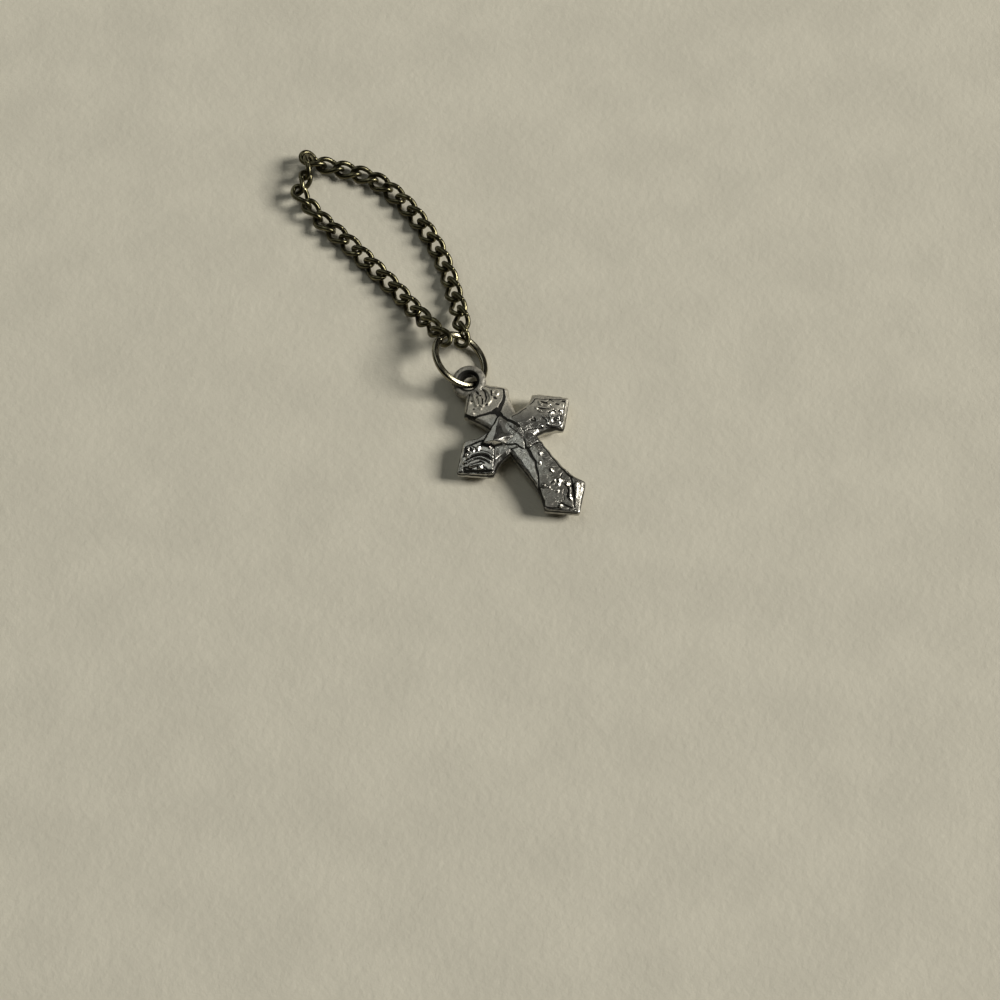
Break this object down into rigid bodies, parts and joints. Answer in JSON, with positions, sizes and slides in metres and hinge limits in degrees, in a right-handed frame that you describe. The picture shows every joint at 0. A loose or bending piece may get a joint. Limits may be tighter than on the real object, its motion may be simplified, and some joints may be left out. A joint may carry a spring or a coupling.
{
  "type": "cross charm on a jump ring and chain loop",
  "caption": "Small cast cross charm with flared pointed arms and raised scrolls, an eyelet, a split jump ring and a closed loop of curb chain, lying flat.",
  "frame": {"origin": "middle of the crossing on the flat back of the cross, on the surface that the charm lies on", "axes": "+Y up the stem of the cross towards the eyelet and the chain, +X to the right of the cross seen from the front, +Z out of its front"},
  "size_m": [0.0166, 0.0547, 0.0042],
  "materials": {
    "cast_silver": "cast metal plated in antique silver, dark in the recesses, bright on the raised lines",
    "ring_steel": "polished dark steel wire",
    "chain_steel": "polished gunmetal plated wire"
  },
  "bodies": {
    "root": {"cross": "cast_silver", "jump_ring": "ring_steel", "link_01": "chain_steel", "link_02": "chain_steel", "link_03": "chain_steel", "link_04": "chain_steel", "link_05": "chain_steel", "link_06": "chain_steel", "link_07": "chain_steel", "link_08": "chain_steel", "link_09": "chain_steel", "link_10": "chain_steel", "link_11": "chain_steel", "link_12": "chain_steel", "link_13": "chain_steel", "link_14": "chain_steel", "link_15": "chain_steel", "link_16": "chain_steel", "link_17": "chain_steel", "link_18": "chain_steel", "link_19": "chain_steel", "link_20": "chain_steel", "link_21": "chain_steel", "link_22": "chain_steel", "link_23": "chain_steel", "link_24": "chain_steel", "link_25": "chain_steel", "link_26": "chain_steel", "link_27": "chain_steel", "link_28": "chain_steel", "link_29": "chain_steel", "link_30": "chain_steel", "link_31": "chain_steel"}
  },
  "joints": []
}
